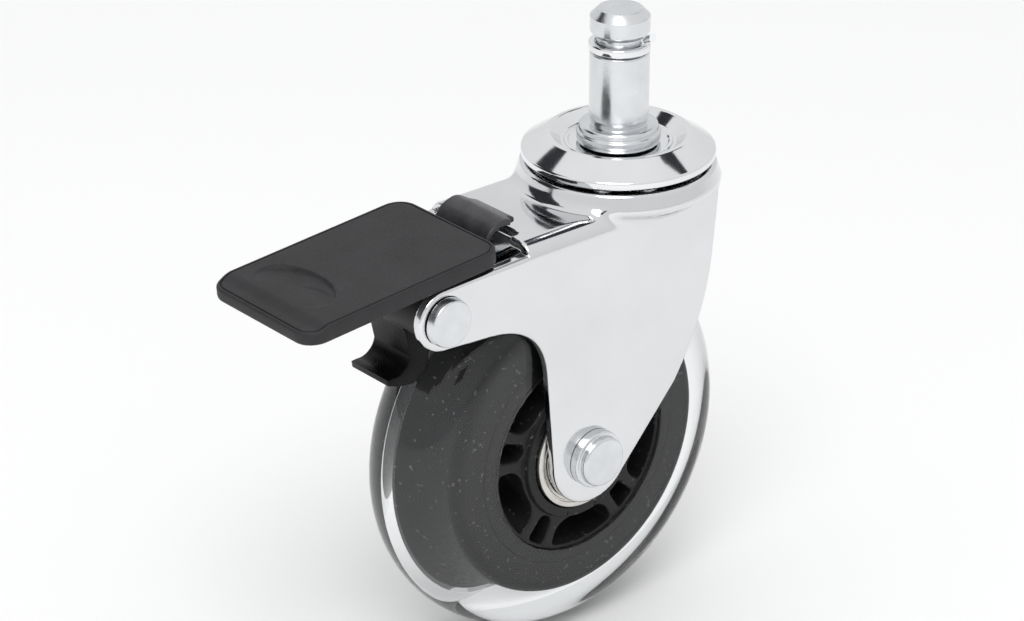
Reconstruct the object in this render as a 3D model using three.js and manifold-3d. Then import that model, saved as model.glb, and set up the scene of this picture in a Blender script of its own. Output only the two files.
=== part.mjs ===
// Braked swivel caster for an office chair: a grip-ring stem, a double ball race, a pressed steel fork,
// a 3 inch wheel on two ball bearings, and a foot brake whose shoe swings against the tread.
// Millimetres. The origin is on the stem's axis, in the plane of its shoulder. +Z is up, +X is the way
// the caster rolls, so the wheel trails towards -X, and the wheel turns about a line along Y.
import * as THREE from "three";
import { mergeVertices } from "three/addons/utils/BufferGeometryUtils.js";
import Module from "manifold-3d";

const wasm = await Module();
wasm.setup();

// ---- Driving dimensions ----

const GAP = 0.3; // clearance between two pieces that touch or slide on each other
const EDGE = 0.5; // chamfer or round on the edge of a turned or moulded piece
const BEYOND = 20; // how far a cutting bar runs past the middle plane, clear of every piece
const QUARTER = Math.PI / 2;
const LARGE = 40; // facets round a large turned piece, a middling one and a small one
const MIDDLE = 28;
const SMALL = 20;

// stem
const STEM_R = 5.5;
const STEM_TOP = 22.2;
const STEM_CHAMFER = 1.4;
const NECK_R = 4.3;
const NECK_BOTTOM = 14;
const NECK_TOP = 17.2;
const RING_H = 1.6; // the grip ring lies on the neck's lower edge
const COLLAR_R = 7.75;
const COLLAR_GROOVE = -1.3;
const COLLAR_BOTTOM = -3.5;
const KINGPIN_R = 4.6;
const KINGPIN_HEAD_R = 6.6;
const KINGPIN_HEAD_H = 1.8;

// ball race between the stem and the fork
const UPPER_ROW = { r: 13, z: -5.7, ball: 1.985, count: 10, retainer: 3.1 };
const LOWER_ROW = { r: 8.8, z: -11.2, ball: 1.5875, count: 8, retainer: 2.6 };
const CAP_R = 17.95;
const CAP_SHEET = 1.4;
const LOWER_RACE_R = 11.3;
const LOWER_RACE_TOP = -12.4;
const LOWER_RACE_BOTTOM = -14.2;
const RETAINER_SHEET = 0.6;

// fork
const SHEET = 2;
const FORK_HALF = 14; // from the middle plane to the outside of a cheek
const PLATE_TOP = -10.5;
const PLATE_REAR = -33.2;
const TAB_EDGE = -31; // where the plate is cut back for the brake spring's tab
const BEND_R = 3.4;
const BOSS_TOP = -7;
const BOSS_R = 18;
const BOSS_BASE_R = 19.1;
const BOSS_DEPTH = 4;
const BOSS_UNDER_R = 13;
const BOSS_FLOOR = -7.6;
const CHEEK_FRONT = 12.9;
const AXLE = { x: -17.8, z: -57.5 };
const AXLE_LOBE_R = 9.2;
const PIVOT = { x: -52.5, z: -19 };
const EAR_R = 5.85;

// wheel
const WHEEL_R = 38;
const WHEEL_HALF = 11;
const TREAD_BORE_R = 20;
const CORE_RIM_R = 29;
const CORE_HALF = 9.2;
const WEB_HALF = 10;
const SLOT_INNER_R = 13.8;
const SLOT_OUTER_R = 19.2;
const SLOT_PAIRS = 5;
const SLOT_TURN = -15;
const BARREL_R = 13.1;
const BARREL_HALF = 11;

// 608 ball bearing: 22 x 8 x 7 with seven 5/32 inch balls
const BEARING = { outer: 11, bore: 4, width: 7, pitch: 7.5, ball: 1.985, balls: 7 };
const BEARING_FACE = 11.6; // from the middle plane to the bearing's outer face
const AXLE_R = 3.7;

// brake
const PIVOT_PIN_R = 2;
const PEDAL = { front: -39.5, tip: -83, half: 14.4, thick: 3.1, top: -8.63, slope: 4.5 };
const BLOCK_HALF = 5.3;
const HUB_R = 7.4;
const HUB_BAR_R = 4.6;
const LIP_R = 15.4;
const SPRING_HALF = 7.2;
const SPRING_SHEET = 1.2;
const TAB_HALF = 5.25;

// ---- Finishes ----

const finish = (color, metalness, roughness) =>
  new THREE.MeshStandardMaterial({ color, metalness, roughness });
const chrome = finish(0xd8d9dc, 1, 0.12);
const zinc = finish(0xc4c8cc, 1, 0.35);
const steel = finish(0xb4b2ae, 1, 0.25);
const blackSteel = finish(0x1c1c1f, 0.6, 0.35);
const nylon = finish(0x444346, 0, 0.6);
const blackPlastic = finish(0x1b1a1c, 0, 0.5);
const cageSteel = finish(0x8d8a86, 1, 0.4);
const clearPu = finish(0xe6e8ea, 0, 0.1);
clearPu.transparent = true;
clearPu.opacity = 0.35;

// ---- Solids ----

// A closed three.js geometry as a solid that can be added to and cut.
function solid(geometry) {
  const bare = geometry.index ? geometry.toNonIndexed() : geometry.clone();
  bare.deleteAttribute("normal");
  bare.deleteAttribute("uv");
  const merged = mergeVertices(bare, 1e-4);
  const mesh = new wasm.Mesh({
    numProp: 3,
    vertProperties: merged.attributes.position.array,
    triVerts: new Uint32Array(merged.index.array),
  });
  return new wasm.Manifold(mesh);
}

// A named mesh of the part.
function piece(name, body, material) {
  const { vertProperties, triVerts } = body.getMesh();
  const geometry = new THREE.BufferGeometry();
  geometry.setAttribute("position", new THREE.BufferAttribute(vertProperties, 3));
  geometry.setIndex(new THREE.BufferAttribute(triVerts, 1));
  geometry.computeVertexNormals();
  const mesh = new THREE.Mesh(geometry, material);
  mesh.name = name;
  return mesh;
}

// The solid that a profile of [radius, height] points sweeps about the Z axis.
function turnedAboutZ(points, segments) {
  const profile = points.map(([r, z]) => new THREE.Vector2(r, z));
  return solid(new THREE.LatheGeometry(profile, segments).rotateX(QUARTER));
}

// The solid that a profile of [radius, y] points sweeps about the wheel's axle.
function turnedAboutAxle(points, segments) {
  const profile = points.map(([r, y]) => new THREE.Vector2(r, y));
  return solid(new THREE.LatheGeometry(profile, segments).translate(AXLE.x, 0, AXLE.z));
}

// The points of an arc about (x, y), from one angle to another in degrees.
function arc(x, y, radius, from, to, steps) {
  const points = [];
  for (let i = 0; i <= steps; i++) {
    const angle = THREE.MathUtils.degToRad(from + ((to - from) * i) / steps);
    points.push([x + radius * Math.cos(angle), y + radius * Math.sin(angle)]);
  }
  return points;
}

const closed = (points) => [...points, points[0]];
const outline = (points) => new THREE.Shape(points.map(([x, y]) => new THREE.Vector2(x, y)));

// An outline in the XZ plane made into a slab between two heights of Y.
function slabAcross(points, yFrom, yTo) {
  const geometry = new THREE.ExtrudeGeometry(outline(points), { depth: yTo - yFrom, bevelEnabled: false });
  return solid(geometry.rotateX(QUARTER).translate(0, yTo, 0));
}

// An outline in the YZ plane made into a bar between two places on X.
function barAlong(points, xFrom, xTo) {
  const geometry = new THREE.ExtrudeGeometry(outline(points), { depth: xTo - xFrom, bevelEnabled: false });
  const turn = new THREE.Matrix4().makeBasis(
    new THREE.Vector3(0, 1, 0),
    new THREE.Vector3(0, 0, 1),
    new THREE.Vector3(1, 0, 0),
  );
  return solid(geometry.applyMatrix4(turn).translate(xFrom, 0, 0));
}

// A round bar along Y through (x, z).
function crossBar(x, z, radius, yFrom, yTo, segments) {
  return slabAcross(arc(x, z, radius, 0, 360 - 360 / segments, segments - 1), yFrom, yTo);
}

function ballAt(x, y, z, radius) {
  return solid(new THREE.SphereGeometry(radius, 8, 5).translate(x, y, z));
}

// ---- Stem, with the kingpin that holds the race together ----

function stem() {
  const headTop = LOWER_RACE_BOTTOM - GAP;
  const headBottom = headTop - KINGPIN_HEAD_H;
  return turnedAboutZ(
    [
      [0, headBottom],
      [KINGPIN_HEAD_R - KINGPIN_HEAD_H, headBottom],
      [KINGPIN_HEAD_R - EDGE, headBottom + EDGE],
      [KINGPIN_HEAD_R, headTop],
      [KINGPIN_R, headTop],
      [KINGPIN_R, COLLAR_BOTTOM],
      [COLLAR_R - EDGE, COLLAR_BOTTOM],
      [COLLAR_R, COLLAR_BOTTOM + EDGE],
      [COLLAR_R, COLLAR_GROOVE - 0.2],
      [COLLAR_R - 0.4, COLLAR_GROOVE + 0.2],
      ...arc(COLLAR_R - 0.4 - EDGE, -EDGE, EDGE, 0, 90, 2),
      [STEM_R, 0],
      [STEM_R, NECK_BOTTOM - EDGE],
      [STEM_R - EDGE, NECK_BOTTOM],
      [NECK_R, NECK_BOTTOM],
      [NECK_R, NECK_TOP],
      [STEM_R - EDGE, NECK_TOP],
      [STEM_R, NECK_TOP + EDGE],
      [STEM_R, STEM_TOP - STEM_CHAMFER],
      [STEM_R - STEM_CHAMFER, STEM_TOP],
      [0, STEM_TOP],
    ],
    MIDDLE,
  );
}

// Spring-steel split ring in the neck; one end is turned out and grips the socket in the chair's leg.
function gripRing() {
  const inner = NECK_R + GAP;
  const outer = inner + 1.15;
  const from = -20;
  const to = 305;
  const turnedOut = arc(0, 0, outer + 0.9, from - 9, from - 5, 1);
  const ring = [...arc(0, 0, outer, from + 8, to, 22), ...arc(0, 0, inner, to, from, 22), ...turnedOut];
  const geometry = new THREE.ExtrudeGeometry(outline(ring), { depth: RING_H, bevelEnabled: false });
  return solid(geometry.translate(0, 0, NECK_BOTTOM + GAP));
}

// ---- Swivel race ----

// The chromed dish fixed on the stem: an arch of sheet over the upper balls, with a rolled rim.
function upperRaceCap() {
  const { r, z, ball } = UPPER_ROW;
  const inside = ball + GAP;
  const outside = inside + CAP_SHEET;
  const floorTop = COLLAR_BOTTOM - GAP;
  const floorBottom = floorTop - CAP_SHEET;
  return turnedAboutZ(
    closed([
      [KINGPIN_R + GAP, floorBottom],
      [r - 3, floorBottom],
      ...arc(r, z, inside, 150, 35, 5),
      [CAP_R - 1, z + 0.3],
      [CAP_R - 0.6, z - 0.2],
      ...arc(CAP_R - 0.5, z + 0.3, 0.5, -60, 60, 2),
      ...arc(r, z, outside, 48, 149, 6),
      [KINGPIN_R + GAP, floorTop],
    ]),
    LARGE,
  );
}

function lowerRace() {
  const { r, z, ball } = LOWER_ROW;
  return turnedAboutZ(
    closed([
      [KINGPIN_R + GAP, LOWER_RACE_BOTTOM],
      [LOWER_RACE_R - EDGE, LOWER_RACE_BOTTOM],
      [LOWER_RACE_R, LOWER_RACE_BOTTOM + EDGE],
      [LOWER_RACE_R, LOWER_RACE_TOP],
      ...arc(r, z, ball + GAP, -40, -140, 3),
      [KINGPIN_R + GAP, LOWER_RACE_TOP],
    ]),
    MIDDLE,
  );
}

// Flat stamped ring that spaces a row of balls.
function retainer(row) {
  const ring = outline(arc(0, 0, row.r + row.retainer, 0, 345, 23));
  ring.holes.push(outline(arc(0, 0, row.r - row.retainer, 0, 345, 23)));
  for (let i = 0; i < row.count; i++) {
    const angle = (2 * Math.PI * i) / row.count;
    const hole = arc(row.r * Math.cos(angle), row.r * Math.sin(angle), row.ball + GAP, 0, 324, 9);
    ring.holes.push(outline(hole));
  }
  const geometry = new THREE.ExtrudeGeometry(ring, { depth: RETAINER_SHEET, bevelEnabled: false });
  return solid(geometry.translate(0, 0, row.z - RETAINER_SHEET / 2));
}

function ballsOfRow(row, name) {
  const balls = [];
  for (let i = 0; i < row.count; i++) {
    const angle = (2 * Math.PI * i) / row.count;
    const ball = ballAt(row.r * Math.cos(angle), row.r * Math.sin(angle), row.z, row.ball);
    balls.push(piece(`${name}_${i + 1}`, ball, steel));
  }
  return balls;
}

// ---- Fork: one pressing of 2 mm sheet ----

// Side view of a cheek: the plate line, the front edge, the lobe round the axle, the notch for the wheel
// and the ear round the brake pivot.
function cheekOutline() {
  const shape = new THREE.Shape();
  shape.moveTo(PLATE_REAR, PLATE_TOP);
  shape.lineTo(PLATE_REAR, -12.5);
  shape.lineTo(PIVOT.x, PIVOT.z + EAR_R);
  shape.absarc(PIVOT.x, PIVOT.z, EAR_R, QUARTER, 3 * QUARTER, false);
  shape.lineTo(-42, -25.6);
  shape.bezierCurveTo(-34, -26.2, -29.2, -30.5, -28.7, -38);
  shape.lineTo(AXLE.x - AXLE_LOBE_R, AXLE.z);
  shape.absarc(AXLE.x, AXLE.z, AXLE_LOBE_R, Math.PI, 1.8 * Math.PI, false);
  shape.lineTo(2.4, -48.8);
  shape.bezierCurveTo(8.2, -40, 10.7, -32, 11.5, -24);
  shape.lineTo(CHEEK_FRONT, PLATE_TOP);
  return shape;
}

// The outside of the drawn boss, which is wider than the fork and closes in again below the plate.
function bossOutside() {
  const { r, z, ball } = UPPER_ROW;
  return turnedAboutZ(
    [
      [0, PLATE_TOP - BOSS_DEPTH],
      [BOSS_UNDER_R, PLATE_TOP - BOSS_DEPTH],
      [BOSS_BASE_R - 0.5, PLATE_TOP - 0.5],
      [BOSS_BASE_R, PLATE_TOP + 0.1],
      ...arc(BOSS_R - 0.8, BOSS_TOP - 0.8, 0.8, 10, 90, 2),
      [r + 2.9, BOSS_TOP],
      ...arc(r, z, ball + GAP, -50, -124, 3),
      [0, BOSS_FLOOR],
    ],
    LARGE,
  );
}

function bossInside() {
  const { r, z, ball } = LOWER_ROW;
  const roof = BOSS_FLOOR - SHEET;
  return turnedAboutZ(
    [
      [0, LOWER_RACE_BOTTOM - GAP],
      [LOWER_RACE_R + GAP, LOWER_RACE_BOTTOM - GAP],
      [LOWER_RACE_R + GAP, PLATE_TOP - SHEET],
      [BOSS_UNDER_R + 0.4, PLATE_TOP - SHEET],
      [BOSS_BASE_R - SHEET, PLATE_TOP + 0.3],
      [BOSS_BASE_R - SHEET - 1.5, roof],
      ...arc(r, z, ball + GAP, 57, 123, 2),
      [0, roof],
    ],
    LARGE,
  );
}

function fork() {
  const floor = AXLE.z - 2 * AXLE_LOBE_R;
  const across = [
    [-FORK_HALF, floor],
    [FORK_HALF, floor],
    ...arc(FORK_HALF - BEND_R, PLATE_TOP - BEND_R, BEND_R, 0, 90, 4),
    ...arc(BEND_R - FORK_HALF, PLATE_TOP - BEND_R, BEND_R, 90, 180, 4),
  ];
  const half = FORK_HALF - SHEET;
  const round = BEND_R - SHEET;
  const between = [
    [-half, floor],
    [half, floor],
    ...arc(half - round, PLATE_TOP - SHEET - round, round, 0, 90, 2),
    ...arc(round - half, PLATE_TOP - SHEET - round, round, 90, 180, 2),
  ];
  const side = cheekOutline()
    .getPoints(8)
    .map((p) => [p.x, p.y]);
  const reach = PIVOT.x - 2 * EAR_R;
  const kingpinHole = KINGPIN_R + 2 * GAP;
  const blank = slabAcross(side, -FORK_HALF, FORK_HALF).intersect(barAlong(across, reach, BOSS_BASE_R));
  const tabSlot = [
    [PLATE_REAR - 1, PLATE_TOP - 3 * SHEET],
    [TAB_EDGE, PLATE_TOP - 3 * SHEET],
    [TAB_EDGE, 0],
    [PLATE_REAR - 1, 0],
  ];
  return blank
    .add(bossOutside())
    .subtract(barAlong(between, reach, BOSS_BASE_R + 1))
    .subtract(bossInside())
    .subtract(slabAcross(tabSlot, -SPRING_HALF - 1, SPRING_HALF + 1))
    .subtract(solid(new THREE.CylinderGeometry(kingpinHole, kingpinHole, BEYOND, MIDDLE).rotateX(QUARTER)
      .translate(0, 0, BOSS_FLOOR)))
    .subtract(crossBar(AXLE.x, AXLE.z, AXLE_R + GAP, -BEYOND, BEYOND, SMALL))
    .subtract(crossBar(PIVOT.x, PIVOT.z, PIVOT_PIN_R + GAP, -BEYOND, BEYOND, SMALL));
}

// ---- Axle and pivot rivets ----

// A rivet along Y: a plain shank, a head on a flange at -Y and a lower formed head at +Y.
function rivet(at, shankR, headR, flangeR, height) {
  const seat = FORK_HALF + GAP;
  const neckR = headR - 0.15;
  const formed = 0.75 * height;
  const profile = [
    [0, -seat - height],
    [headR - EDGE, -seat - height],
    [headR, -seat - height + EDGE],
    [neckR, -seat - 0.5 * height],
    [flangeR, -seat - 0.3 * height],
    [flangeR, -seat],
    [shankR, -seat],
    [shankR, seat],
    [flangeR, seat],
    [flangeR, seat + 0.3 * formed],
    [flangeR - 1.2, seat + formed],
    [0, seat + formed],
  ].map(([r, y]) => new THREE.Vector2(r, y));
  return solid(new THREE.LatheGeometry(profile, SMALL).translate(at.x, 0, at.z));
}

// ---- Wheel ----

// Clear polyurethane tyre cast round the core's rim; its section is a horseshoe.
function tread() {
  const crownFrom = 28;
  const fullness = 0.92;
  const shoulder = WHEEL_HALF - 0.4;
  const outside = [];
  const steps = 12;
  for (let i = 0; i <= steps; i++) {
    const t = -QUARTER + (Math.PI * i) / steps;
    const y = WHEEL_HALF * Math.sin(t);
    outside.push([crownFrom + (WHEEL_R - crownFrom) * Math.cos(t) ** fullness, y]);
  }
  const inside = rimSection(CORE_RIM_R + GAP, CORE_HALF + GAP).reverse();
  return turnedAboutAxle(
    closed([[TREAD_BORE_R, -shoulder], ...outside, [TREAD_BORE_R, shoulder], ...inside]),
    LARGE,
  );
}

// Half section of the core's rim from one side round to the other.
function rimSection(rim, half) {
  const round = 3;
  return [
    [TREAD_BORE_R, -half],
    ...arc(rim - round, -half + round, round, -90, 0, 2),
    ...arc(rim - round, half - round, round, 0, 90, 2),
    [TREAD_BORE_R, half],
  ];
}

// One slot of the web: a sector between two radii, with wide rounds at its inner corners.
function slot(middle, halfAngle, innerRound) {
  const outerRound = 0.8;
  const points = [];
  const corner = (r, round, side, from) => {
    const angle = middle + side * (halfAngle - THREE.MathUtils.radToDeg(round / r));
    const reach = THREE.MathUtils.degToRad(angle);
    points.push(...arc(r * Math.cos(reach), r * Math.sin(reach), round, from + angle, from + angle + 90, 2));
  };
  corner(SLOT_OUTER_R - outerRound, outerRound, 1, 0);
  corner(SLOT_INNER_R + innerRound, innerRound, 1, 90);
  corner(SLOT_INNER_R + innerRound, innerRound, -1, 180);
  corner(SLOT_OUTER_R - outerRound, outerRound, -1, 270);
  points.push(...arc(0, 0, SLOT_OUTER_R, middle - halfAngle / 2, middle + halfAngle / 2, 1));
  const placed = points.map(([x, z]) => [AXLE.x + x, AXLE.z + z]);
  return slabAcross(placed, -WHEEL_HALF, WHEEL_HALF);
}

// Black core: the rim inside the tyre, a web with five long and five short slots, and the bearing barrel.
function wheelCore() {
  const seatR = BEARING.outer + GAP;
  const stop = BEARING_FACE - BEARING.width - GAP;
  const stopR = seatR - 1.6;
  let core = turnedAboutAxle(
    closed([
      [seatR, -BARREL_HALF],
      [BARREL_R, -BARREL_HALF],
      [BARREL_R + GAP, -WEB_HALF],
      [TREAD_BORE_R - GAP, -WEB_HALF],
      [TREAD_BORE_R - GAP, -CORE_HALF],
      ...rimSection(CORE_RIM_R, CORE_HALF),
      [TREAD_BORE_R - GAP, CORE_HALF],
      [TREAD_BORE_R - GAP, WEB_HALF],
      [BARREL_R + GAP, WEB_HALF],
      [BARREL_R, BARREL_HALF],
      [seatR, BARREL_HALF],
      [seatR, stop],
      [stopR, stop],
      [stopR, -stop],
      [seatR, -stop],
    ]),
    LARGE,
  );
  for (let i = 0; i < SLOT_PAIRS; i++) {
    const turn = (i * 360) / SLOT_PAIRS + SLOT_TURN;
    core = core.subtract(slot(turn, 22.5, 3.4));
    core = core.subtract(slot(turn + 180 / SLOT_PAIRS, 6, 1.5));
  }
  return core;
}

// ---- Bearings: `side` is -1 for the one at -Y and 1 for the one at +Y ----

const bearingMiddle = BEARING_FACE - BEARING.width / 2;
const outerLand = BEARING.pitch + 0.8 * BEARING.ball;
const innerLand = BEARING.pitch - 0.8 * BEARING.ball;
const SHIELD_SHEET = 0.35;

function outerRing(side) {
  const { outer, width, pitch, ball } = BEARING;
  const y = side * bearingMiddle;
  const chamfer = 0.3;
  return turnedAboutAxle(
    closed([
      [outerLand, y - width / 2],
      [outer - chamfer, y - width / 2],
      [outer, y - width / 2 + chamfer],
      [outer, y + width / 2 - chamfer],
      [outer - chamfer, y + width / 2],
      [outerLand, y + width / 2],
      ...arc(pitch, y, ball + GAP, 46, -46, 3),
    ]),
    MIDDLE,
  );
}

function innerRing(side) {
  const { bore, width, pitch, ball } = BEARING;
  const y = side * bearingMiddle;
  return turnedAboutAxle(
    closed([
      [bore, y - width / 2],
      [innerLand, y - width / 2],
      ...arc(pitch, y, ball + GAP, 226, 134, 2),
      [innerLand, y + width / 2],
      [bore, y + width / 2],
    ]),
    SMALL,
  );
}

// Thin ring that closes one face of a bearing.
function shield(side, face) {
  const y = side * bearingMiddle + face * (BEARING.width / 2 - SHIELD_SHEET);
  const inner = innerLand + GAP;
  const outer = outerLand - GAP;
  return turnedAboutAxle(
    closed([
      [inner, y - SHIELD_SHEET / 2],
      [outer, y - SHIELD_SHEET / 2],
      [outer, y + SHIELD_SHEET / 2],
      [inner, y + SHIELD_SHEET / 2],
    ]),
    SMALL,
  );
}

// Crown cage: a ring open on the shield's side, with a pocket for each ball.
function ballCage(side) {
  const { pitch, ball, balls } = BEARING;
  const y = side * bearingMiddle;
  const half = 0.8;
  const open = y - 0.6;
  const back = y + BEARING.width / 2 - 2 * SHIELD_SHEET;
  let cage = turnedAboutAxle(
    closed([
      [pitch - half, open],
      [pitch + half, open],
      [pitch + half, back],
      [pitch - half, back],
    ]),
    SMALL,
  );
  for (let i = 0; i < balls; i++) {
    cage = cage.subtract(bearingBall(side, i, ball + GAP));
  }
  return cage;
}

function bearingBall(side, index, radius) {
  const angle = (2 * Math.PI * index) / BEARING.balls;
  const x = AXLE.x + BEARING.pitch * Math.cos(angle);
  const z = AXLE.z + BEARING.pitch * Math.sin(angle);
  return ballAt(x, side * bearingMiddle, z, radius);
}

// Tube on the axle that keeps the two inner rings apart.
function bearingSpacer() {
  const end = BEARING_FACE - BEARING.width - GAP;
  const wall = 1.3;
  return turnedAboutAxle(
    closed([
      [BEARING.bore, -end],
      [BEARING.bore + wall, -end],
      [BEARING.bore + wall, end],
      [BEARING.bore, end],
    ]),
    SMALL,
  );
}

// ---- Brake ----

// Nylon pedal in one moulding: the tread plate, the block round the pivot, and below it the shoe that
// swings against the tread when the plate is stepped on. A hooked lip closes the shoe's outer side.
function brakePedal() {
  const { front, tip, half, thick, top, slope } = PEDAL;
  const length = front - tip;
  const corner = 4;
  const plan = [
    ...arc(-corner, half - corner, corner - EDGE, 0, 90, 4),
    ...arc(corner - length, half - corner, corner - EDGE, 90, 180, 4),
    ...arc(corner - length, corner - half, corner - EDGE, 180, 270, 4),
    ...arc(-corner, corner - half, corner - EDGE, 270, 360, 4),
  ];
  const plate = new THREE.ExtrudeGeometry(outline(plan), {
    depth: thick - 2 * EDGE,
    bevelSize: EDGE,
    bevelThickness: EDGE,
    bevelSegments: 2,
  });
  plate.translate(0, 0, EDGE - thick);
  plate.rotateY(THREE.MathUtils.degToRad(-slope));
  plate.translate(front, 0, top);
  const block = [
    [-45.6, -12],
    ...arc(PIVOT.x, PIVOT.z, HUB_R, 5, -58, 5),
    ...arc(-53, -30.7, 3.65, 8, -92, 5),
    ...arc(PIVOT.x, PIVOT.z, LIP_R, -94, -113, 3),
    [-58.7, -32],
    ...arc(-57, -28.3, 3.6, -97, -9, 5),
    [-57, -12.5],
  ];
  const side = FORK_HALF - SHEET - GAP;
  return solid(plate)
    .add(slabAcross(block, -BLOCK_HALF, BLOCK_HALF))
    .add(crossBar(PIVOT.x, PIVOT.z, HUB_BAR_R, -side, side, SMALL))
    .subtract(crossBar(PIVOT.x, PIVOT.z, PIVOT_PIN_R + GAP, -BEYOND, BEYOND, SMALL));
}

// Spring-steel leaf that holds the pedal in either of its two positions: a tab hooked over the plate's
// rear edge, a hump behind it, and a tongue led down to bear on the pedal's hub.
function brakeSpring() {
  const bends = [
    [-30, -9.3],
    [-31.8, -8.6],
    [-33.6, -8.3],
    [-36.1, -9.3],
    [-37.7, -11.6],
    [-39.4, -14.2],
    [-41.8, -16.4],
    [-43.7, -18.6],
    [-44.1, -21],
    [-43.2, -24],
  ].map(([x, z]) => new THREE.Vector2(x, z));
  const line = new THREE.SplineCurve(bends);
  const steps = 24;
  const outer = [];
  const inner = [];
  for (let i = 0; i <= steps; i++) {
    const at = line.getPoint(i / steps);
    const along = line.getTangent(i / steps);
    const offset = new THREE.Vector2(-along.y, along.x).multiplyScalar(SPRING_SHEET / 2);
    outer.push([at.x + offset.x, at.y + offset.y]);
    inner.push([at.x - offset.x, at.y - offset.y]);
  }
  const beside = [
    [TAB_EDGE - 2 * GAP, PLATE_TOP - SHEET],
    [TAB_EDGE + SHEET, PLATE_TOP - SHEET],
    [TAB_EDGE + SHEET, BOSS_TOP],
    [TAB_EDGE - 2 * GAP, BOSS_TOP],
  ];
  return slabAcross([...outer, ...inner.reverse()], -SPRING_HALF, SPRING_HALF)
    .subtract(slabAcross(beside, TAB_HALF, SPRING_HALF + 1))
    .subtract(slabAcross(beside, -SPRING_HALF - 1, -TAB_HALF));
}

// ---- The caster ----

const caster = new THREE.Group();
caster.name = "chair_caster";
caster.add(
  piece("stem", stem(), zinc),
  piece("grip_ring", gripRing(), zinc),
  piece("upper_race_cap", upperRaceCap(), chrome),
  piece("lower_race", lowerRace(), steel),
  piece("upper_ball_retainer", retainer(UPPER_ROW), cageSteel),
  piece("lower_ball_retainer", retainer(LOWER_ROW), cageSteel),
  ...ballsOfRow(UPPER_ROW, "upper_ball"),
  ...ballsOfRow(LOWER_ROW, "lower_ball"),
  piece("fork", fork(), chrome),
  piece("axle_rivet", rivet(AXLE, AXLE_R, 4.85, 5.9, 2.9), zinc),
  piece("pivot_rivet", rivet(PIVOT, PIVOT_PIN_R, 4.3, 4.65, 1.6), zinc),
  piece("tread", tread(), clearPu),
  piece("wheel_core", wheelCore(), blackPlastic),
  piece("bearing_spacer", bearingSpacer(), steel),
  piece("brake_pedal", brakePedal(), nylon),
  piece("brake_spring", brakeSpring(), blackSteel),
);
for (const [name, side] of [["near", -1], ["far", 1]]) {
  caster.add(
    piece(`${name}_outer_ring`, outerRing(side), steel),
    piece(`${name}_inner_ring`, innerRing(side), steel),
    piece(`${name}_outside_shield`, shield(side, side), steel),
    piece(`${name}_inside_shield`, shield(side, -side), steel),
    piece(`${name}_ball_cage`, ballCage(side), cageSteel),
  );
  for (let i = 0; i < BEARING.balls; i++) {
    caster.add(piece(`${name}_ball_${i + 1}`, bearingBall(side, i, BEARING.ball), steel));
  }
}

export default caster;
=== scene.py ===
# Looks of the braked swivel caster: smooth high-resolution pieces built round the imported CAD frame.
# Shapes are worked out in millimetres in the row frame and turned into metres when a mesh is made.
import math
import bmesh
import bpy
import numpy as np
from mathutils import Matrix, Vector


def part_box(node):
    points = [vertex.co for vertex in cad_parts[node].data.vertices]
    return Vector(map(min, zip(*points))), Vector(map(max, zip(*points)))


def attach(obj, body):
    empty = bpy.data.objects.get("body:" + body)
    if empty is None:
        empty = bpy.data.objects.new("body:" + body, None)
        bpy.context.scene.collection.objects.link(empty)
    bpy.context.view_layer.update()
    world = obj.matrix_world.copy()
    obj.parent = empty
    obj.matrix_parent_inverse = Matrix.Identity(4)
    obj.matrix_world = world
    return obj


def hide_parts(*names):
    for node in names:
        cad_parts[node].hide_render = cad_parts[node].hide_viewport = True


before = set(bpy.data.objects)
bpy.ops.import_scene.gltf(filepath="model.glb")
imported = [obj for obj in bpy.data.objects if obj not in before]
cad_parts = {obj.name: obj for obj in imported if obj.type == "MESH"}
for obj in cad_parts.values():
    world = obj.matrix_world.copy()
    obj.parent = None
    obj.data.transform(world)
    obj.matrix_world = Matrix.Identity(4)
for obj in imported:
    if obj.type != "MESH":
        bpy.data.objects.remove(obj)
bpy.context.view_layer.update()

MM = 0.001
GAP = 0.3  # clearance the CAD leaves between pieces


# ---- Places and sizes taken from the frame, in millimetres ----

def low(node):
    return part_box(node)[0] / MM


def high(node):
    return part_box(node)[1] / MM


def centre(node):
    return (low(node) + high(node)) / 2


AXLE = centre("tread")
PIVOT = centre("pivot_rivet")
WHEEL_R = (high("tread").z - low("tread").z) / 2
WHEEL_HALF = high("tread").y
FLOOR_Z = low("tread").z

STEM_R = 5.5
STEM_TOP = high("stem").z
NECK_R = 4.3
NECK_BOTTOM = 14
NECK_TOP = 17.2
COLLAR_R = high("stem").x
COLLAR_BOTTOM = -3.5
KINGPIN_R = 4.6
KINGPIN_HEAD_R = 6.6
KINGPIN_BOTTOM = low("stem").z

UPPER_ROW = {"r": 13, "z": -5.7, "ball": 1.985, "count": 10, "retainer": 3.1}
LOWER_ROW = {"r": 8.8, "z": -11.2, "ball": 1.5875, "count": 8, "retainer": 2.6}
RETAINER_SHEET = 0.6
CAP_R = high("upper_race_cap").x
CAP_SHEET = 1.4

SHEET = 2
FORK_HALF = 14
BEND_R = 3.4
PLATE_TOP = -10.5
PLATE_REAR = -33.2
TAB_EDGE = -31
BOSS_TOP = -7
BOSS_R = 18
BOSS_BASE_R = high("fork").y
BOSS_DEPTH = 4
BOSS_UNDER_R = 13
BOSS_FLOOR = -7.6
CHEEK_FRONT = 12.9
AXLE_LOBE_R = 9.2
EAR_R = 5.85

TREAD_BORE_R = 20
CORE_RIM_R = 29
CORE_HALF = 9.2
WEB_HALF = 10
BARREL_R = 13.1
BARREL_HALF = 11
SLOT_INNER_R = 13.8
SLOT_OUTER_R = 19.2
SLOT_PAIRS = 5
SLOT_TURN = -15

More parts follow.
